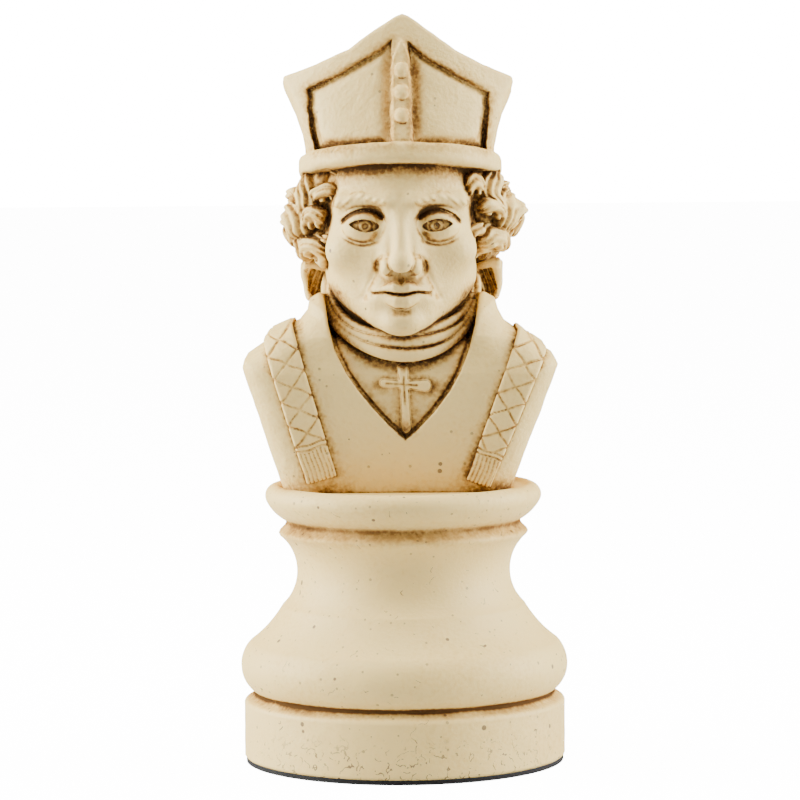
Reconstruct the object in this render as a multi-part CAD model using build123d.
"""Bishop chess piece: a cast, mitred bust pinned and glued to a turned, weighted pedestal with a baize foot.

Units are millimetres. +Z is up, the bust faces -Y, and the origin is the middle of the baize's underside.
"""

from build123d import *

import os

# Pedestal casting, from the baize up: heights (_Z) and radii (_R) of its turned outline.
BAIZE_THICKNESS = 0.65
BAIZE_R = 21.5
PLINTH_R = 21.7
PLINTH_EDGE_Z = 8.0
PLINTH_TOP_R = 21.3
PLINTH_TOP_Z = 8.6
LOWER_GROOVE_R = 20.3
LOWER_GROOVE_Z = 9.5
BULGE_R = 22.1
BULGE_Z = 12.8
SHOULDER_R = 20.8
SHOULDER_Z = 16.2
WAIST_START_R = 16.4
WAIST_START_Z = 21.1
WAIST_R = 14.4
WAIST_Z = 25.8
FLANGE_R = 16.9
FLANGE_Z = 30.9
UPPER_GROOVE_R = 15.8
UPPER_GROOVE_Z = 32.4
COLLAR_FLANK_R = 17.6
COLLAR_FLANK_Z = 34.0
COLLAR_R = 18.6
COLLAR_Z = 36.0
COLLAR_TOP_R = 17.1
COLLAR_TOP_Z = 37.55
SEAT_R = 16.3
SEAT_Z = 37.1

# Weight pocket in the pedestal's underside, and what fills it.
DISC_R = 18.0
DISC_THICKNESS = 1.2
POCKET_R = 15.0
POCKET_TOP_Z = 17.0
SLUG_R = 13.0
SLUG_THICKNESS = 9.0

# Two steel pins between pedestal and bust.
PIN_R = 1.5
PIN_LENGTH = 16.0
PIN_SPACING = 16.0
PIN_CHAMFER = 0.3
HOLE_CLEARANCE = 0.05
HOLE_EXTRA_DEPTH = 0.5

# Robe sections: (height, half width, half depth, shift along Y).
ROBE_SECTIONS = (
    (SEAT_Z, 15.2, 9.0, 0.0),
    (53.6, 21.0, 11.4, 0.0),
    (55.2, 20.4, 11.2, 0.2),
    (59.2, 14.6, 10.0, 0.8),
    (62.0, 11.6, 9.2, 1.2),
)

# Neckline, and the cross on the shirt that it shows.
NECKLINE_HALF_WIDTH = 11.4
NECKLINE_TIP_Z = 43.6
NECKLINE_TOP_Z = 66.0
NECKLINE_DEPTH = 1.2
CROSS_TOP_Z = 53.0
CROSS_BOTTOM_Z = 45.0
CROSS_BAR_Z = 50.6
CROSS_SPAN = 6.0
CROSS_WIDTH = 1.4
CROSS_PROUD = 0.4

# Stole bands, which follow the robe and stand proud of it.
BAND_TOP_X = 15.4
BAND_BOTTOM_X = 10.4
BAND_TOP_Z = 60.5
BAND_BOTTOM_Z = 39.0
BAND_WIDTH = 4.2
BAND_PROUD = 0.7

# Head, neck, neckcloth, hair and nape bow.
HEAD_R = 11.4
HEAD_Y = -1.0
HEAD_Z = 72.2
HEAD_TOP_Z = 82.0
NECK_R = 9.2
NECK_BOTTOM_Z = 58.0
NECK_TOP_Z = 72.0
NECKCLOTH_ROLLS = ((58.4, 10.1), (60.2, 10.3))
NECKCLOTH_ROLL_R = 1.1
NECKCLOTH_TILT = 24.0
CURL_X = 12.6
CURL_R = 3.6
CURL_LENGTH = 5.5
CURL_HEIGHTS = (69.6, 73.4)
BACK_HAIR_R = 9.0
BACK_HAIR_Y = 5.5
BACK_HAIR_Z = 70.5
BOW_X = 11.0
BOW_Y = 7.0
BOW_Z = 63.6
BOW_SIZE = (4.6, 3.0, 5.6)
BOW_SPLAY = 12.0

# Mitre, in its own upright frame before it is tipped back about the middle of its brim.
MITRE_TIP = 8.5
BRIM_BOTTOM_Z = 78.5
BRIM_TOP_Z = 81.5
BRIM_HALF_WIDTH = 13.9
BRIM_HALF_DEPTH = 13.4
CROWN_WAIST = 12.7
CROWN_SIDE = 13.6
CROWN_SIDE_Z = 87.0
CROWN_CORNER = 15.5
CROWN_CORNER_Z = 91.4
CROWN_EDGE = 7.4
CROWN_EDGE_Z = 95.3
CROWN_POINT_Z = 99.9
CROWN_FOOT_DEPTH = 12.4
CROWN_POINT_DEPTH = 9.4
CROWN_SIDE_DEPTH = 4.6
CLEFT_HALF_WIDTH = 4.6
CLEFT_BOTTOM_Z = 91.6
PANEL_DEPTH = 0.8
PANEL_INNER = 1.6
PANEL_OUTER = 11.3
PANEL_FOOT_Z = 83.0
PANEL_CORNER_Z = 90.6
PANEL_POINT_Z = 95.6

# Reach of the cutting solids that go right through the bust, beyond its widest half.
CUT_REACH = 30.0


def baize_pad():
    """Self-adhesive baize disc under the foot."""
    return Pos(0, 0, BAIZE_THICKNESS / 2) * Cylinder(BAIZE_R, BAIZE_THICKNESS)


def disc_top():
    """Height of the closing disc's upper face."""
    return BAIZE_THICKNESS + DISC_THICKNESS


def closing_disc():
    """Millboard disc that closes the weight pocket, flush with the casting's underside."""
    return Pos(0, 0, BAIZE_THICKNESS + DISC_THICKNESS / 2) * Cylinder(DISC_R, DISC_THICKNESS)


def ballast_slug():
    """Steel disc that weights the foot, bedded against the pocket's roof."""
    return Pos(0, 0, POCKET_TOP_Z - SLUG_THICKNESS / 2) * Cylinder(SLUG_R, SLUG_THICKNESS)


def potting():
    """Plaster poured round the slug, filling the pocket down to the closing disc."""
    height = POCKET_TOP_Z - disc_top()
    fill = Pos(0, 0, disc_top() + height / 2) * Cylinder(POCKET_R, height)
    return fill - ballast_slug()


def pin_holes(bottom, top):
    """The two pin holes from height bottom to height top, with room for glue round each pin."""
    hole = Cylinder(PIN_R + HOLE_CLEARANCE, top - bottom)
    return [Pos(side * PIN_SPACING / 2, 0, (bottom + top) / 2) * hole for side in (-1, 1)]


def dowel_pins():
    """Two steel pins, half in the pedestal and half in the bust, that key the bust against turning."""
    pin = chamfer(Cylinder(PIN_R, PIN_LENGTH).edges().filter_by(GeomType.CIRCLE), PIN_CHAMFER)
    return Compound([Pos(side * PIN_SPACING / 2, 0, SEAT_Z) * pin for side in (-1, 1)])


def pedestal():
    """Turned pedestal casting: plinth, bulge, waist, flange and collar, with the weight pocket below."""
    with BuildSketch(Plane.XZ) as half_section:
        with BuildLine():
            Line((0, BAIZE_THICKNESS), (PLINTH_R, BAIZE_THICKNESS))
            Line((PLINTH_R, BAIZE_THICKNESS), (PLINTH_R, PLINTH_EDGE_Z))
            Line((PLINTH_R, PLINTH_EDGE_Z), (PLINTH_TOP_R, PLINTH_TOP_Z))
            Line((PLINTH_TOP_R, PLINTH_TOP_Z), (LOWER_GROOVE_R, LOWER_GROOVE_Z))
            ThreePointArc((LOWER_GROOVE_R, LOWER_GROOVE_Z), (BULGE_R, BULGE_Z), (SHOULDER_R, SHOULDER_Z))
            Line((SHOULDER_R, SHOULDER_Z), (WAIST_START_R, WAIST_START_Z))
            ThreePointArc((WAIST_START_R, WAIST_START_Z), (WAIST_R, WAIST_Z), (FLANGE_R, FLANGE_Z))
            Line((FLANGE_R, FLANGE_Z), (UPPER_GROOVE_R, UPPER_GROOVE_Z))
            ThreePointArc(
                (UPPER_GROOVE_R, UPPER_GROOVE_Z),
                (COLLAR_FLANK_R, COLLAR_FLANK_Z),
                (COLLAR_R, COLLAR_Z),
            )
            TangentArc((COLLAR_R, COLLAR_Z), (COLLAR_TOP_R, COLLAR_TOP_Z), tangent=(0, 1))
            Line((COLLAR_TOP_R, COLLAR_TOP_Z), (SEAT_R, SEAT_Z))
            Line((SEAT_R, SEAT_Z), (0, SEAT_Z))
            Line((0, SEAT_Z), (0, BAIZE_THICKNESS))
        make_face()
    turned = revolve(half_section.sketch, Axis.Z)
    pocket_height = POCKET_TOP_Z - BAIZE_THICKNESS
    pocket = Pos(0, 0, BAIZE_THICKNESS + pocket_height / 2) * Cylinder(POCKET_R, pocket_height)
    return turned - pocket - closing_disc() - pin_holes(SEAT_Z - PIN_LENGTH / 2 - HOLE_EXTRA_DEPTH, SEAT_Z)


def robe(proud=0.0):
    """Bust's robe: straight flared sides and sloped shoulders. proud thickens it all round."""
    sections = []
    for z, half_x, half_y, shift in ROBE_SECTIONS:
        sections.append(Pos(0, shift, z) * Ellipse(half_x + proud, half_y + proud))
    return loft(sections, ruled=True)


def neckline():
    """Wedge sunk into the front of the robe, whose point is the bottom of its V neck."""
    outline = Polygon(
        (0, NECKLINE_TIP_Z),
        (NECKLINE_HALF_WIDTH, NECKLINE_TOP_Z),
        (-NECKLINE_HALF_WIDTH, NECKLINE_TOP_Z),
        align=None,
    )
    return extrude(Plane.XZ * outline, amount=CUT_REACH)


def pectoral_cross():
    """Plain Latin cross on the shirt front, with its back buried in the casting."""
    depth = ROBE_SECTIONS[0][2] + CROSS_PROUD
    height = CROSS_TOP_Z - CROSS_BOTTOM_Z
    stem = Pos(0, -depth / 2, (CROSS_TOP_Z + CROSS_BOTTOM_Z) / 2) * Box(CROSS_WIDTH, depth, height)
    bar = Pos(0, -depth / 2, CROSS_BAR_Z) * Box(CROSS_SPAN, depth, CROSS_WIDTH)
    return stem + bar


def stole_band(side):
    """One of the two slanting stole bands, over the shoulder from front to back."""
    half = BAND_WIDTH / 2
    outline = Polygon(
        (side * (BAND_BOTTOM_X - half), BAND_BOTTOM_Z),
        (side * (BAND_BOTTOM_X + half), BAND_BOTTOM_Z),
        (side * (BAND_TOP_X + half), BAND_TOP_Z),
        (side * (BAND_TOP_X - half), BAND_TOP_Z),
        align=None,
    )
    return extrude(Plane.XZ * outline, amount=CUT_REACH, both=True) & robe(BAND_PROUD)


def curl(side, z):
    """Side curl: a roll of hair lying fore and aft beside the head."""
    roll = Rot(90, 0, 0) * Cylinder(CURL_R, CURL_LENGTH)
    for end in (-1, 1):
        roll += Pos(0, end * CURL_LENGTH / 2, 0) * Sphere(CURL_R)
    seam_inward = Rot(0, 0, 90 + side * 90)
    return Pos(side * CURL_X, 0, z) * seam_inward * roll


def nape_bow(side):
    """One loop of the ribbon bow at the nape."""
    return Pos(side * BOW_X, BOW_Y, BOW_Z) * Rot(0, side * BOW_SPLAY, 0) * Box(*BOW_SIZE)


def neckcloth_fold(z, roll_r):
    """One roll of the neckcloth, hanging lower at the throat than at the nape."""
    return Pos(0, 0, z) * Rot(NECKCLOTH_TILT, 0, 0) * Torus(roll_r, NECKCLOTH_ROLL_R)


def head():
    """Plain rounded head on its neck, with the neckcloth, side curls, back hair and nape bow."""
    seam_at_back = Rot(0, 0, 90)
    neck = seam_at_back * Cylinder(NECK_R, NECK_TOP_Z - NECK_BOTTOM_Z)
    skull = seam_at_back * Cylinder(HEAD_R, HEAD_TOP_Z - HEAD_Z)
    jaw = seam_at_back * Sphere(HEAD_R)
    pieces = [
        Pos(0, 0, (NECK_BOTTOM_Z + NECK_TOP_Z) / 2) * neck,
        Pos(0, HEAD_Y, (HEAD_Z + HEAD_TOP_Z) / 2) * skull,
        Pos(0, HEAD_Y, HEAD_Z) * jaw,
        Pos(0, BACK_HAIR_Y, BACK_HAIR_Z) * Sphere(BACK_HAIR_R),
    ]
    for side in (-1, 1):
        pieces += [curl(side, z) for z in CURL_HEIGHTS]
        pieces.append(nape_bow(side))
    pieces += [neckcloth_fold(z, roll_r) for z, roll_r in NECKCLOTH_ROLLS]
    return pieces


def crown_front():
    """Front outline of the mitre's crown: a five-sided shield with hollow sides."""
    with BuildSketch(Plane.XZ) as front:
        with BuildLine():
            Line((-CROWN_WAIST, BRIM_BOTTOM_Z), (CROWN_WAIST, BRIM_BOTTOM_Z))
            for side in (-1, 1):
                Line((side * CROWN_WAIST, BRIM_BOTTOM_Z), (side * CROWN_WAIST, BRIM_TOP_Z))
                ThreePointArc(
                    (side * CROWN_WAIST, BRIM_TOP_Z),
                    (side * CROWN_SIDE, CROWN_SIDE_Z),
                    (side * CROWN_CORNER, CROWN_CORNER_Z),
                )
                ThreePointArc(
                    (side * CROWN_CORNER, CROWN_CORNER_Z),
                    (side * CROWN_EDGE, CROWN_EDGE_Z),
                    (0, CROWN_POINT_Z),
                )
        make_face()
    return front.sketch


def crown_plan(inset):
    """Plan outline of the crown: two bowed shields whose edges stand a little apart at the sides."""
    side_depth = CROWN_SIDE_DEPTH - inset
    with BuildSketch() as plan:
        with BuildLine():
            for way in (-1, 1):
                ThreePointArc(
                    (-CROWN_CORNER, way * side_depth),
                    (0, way * (CROWN_FOOT_DEPTH - inset)),
                    (CROWN_CORNER, way * side_depth),
                )
            for side in (-1, 1):
                Line((side * CROWN_CORNER, -side_depth), (side * CROWN_CORNER, side_depth))
        make_face()
    return plan.sketch


def crown_flank(inset):
    """Side outline of the crown: two shields that lean together, with a cleft between their points."""
    return Polygon(
        (inset - CROWN_FOOT_DEPTH, BRIM_BOTTOM_Z),
        (CROWN_FOOT_DEPTH - inset, BRIM_BOTTOM_Z),
        (CROWN_POINT_DEPTH - inset, CROWN_POINT_Z),
        (CLEFT_HALF_WIDTH, CROWN_POINT_Z),
        (0, CLEFT_BOTTOM_Z),
        (-CLEFT_HALF_WIDTH, CROWN_POINT_Z),
        (inset - CROWN_POINT_DEPTH, CROWN_POINT_Z),
        align=None,
    )


def crown(inset=0.0):
    """The mitre's crown: one block cut to its plan, front and side outlines. inset thins it fore and aft."""
    upward = extrude(Pos(0, 0, BRIM_BOTTOM_Z) * crown_plan(inset), amount=CROWN_POINT_Z - BRIM_BOTTOM_Z)
    backward = extrude(crown_front(), amount=CUT_REACH, both=True)
    sideways = extrude(Plane.YZ * crown_flank(inset), amount=CUT_REACH, both=True)
    return upward & backward & sideways


def panel_recess(side):
    """What the two panels on one side of the ridge, front and back, take out of the crown."""
    outline = Polygon(
        (side * PANEL_INNER, PANEL_FOOT_Z),
        (side * PANEL_OUTER, PANEL_FOOT_Z),
        (side * PANEL_OUTER, PANEL_CORNER_Z),
        (side * PANEL_INNER, PANEL_POINT_Z),
        align=None,
    )
    return extrude(Plane.XZ * outline, amount=CUT_REACH, both=True) - crown(PANEL_DEPTH)


def mitre():
    """Mitre tipped back on the head: an oval brim under a crown of two shields with sunk panels."""
    brim = extrude(Ellipse(BRIM_HALF_WIDTH, BRIM_HALF_DEPTH), amount=BRIM_TOP_Z - BRIM_BOTTOM_Z)
    upright = crown() - panel_recess(-1) - panel_recess(1) + Pos(0, 0, BRIM_BOTTOM_Z) * brim
    middle = (BRIM_BOTTOM_Z + BRIM_TOP_Z) / 2
    return Pos(0, 0, middle) * Rot(-MITRE_TIP, 0, 0) * Pos(0, 0, -middle) * upright


def bust():
    """Bust casting in one piece, from its foot to the mitre's points, with the two pin holes."""
    shirt = neckline() & robe(-NECKLINE_DEPTH)
    body = robe() - neckline() + shirt + pectoral_cross()
    body = body + stole_band(-1) + stole_band(1) + mitre()
    for piece in head():
        body += piece
    return body - pin_holes(SEAT_Z, SEAT_Z + PIN_LENGTH / 2 + HOLE_EXTRA_DEPTH)


PIECES = {
    "baize_pad": baize_pad,
    "closing_disc": closing_disc,
    "ballast_slug": ballast_slug,
    "potting_plaster": potting,
    "pedestal_casting": pedestal,
    "dowel_pins": dowel_pins,
    "bust_casting": bust,
}

os.makedirs("parts", exist_ok=True)
for name, make in PIECES.items():
    export_step(make(), f"parts/{name}.step")
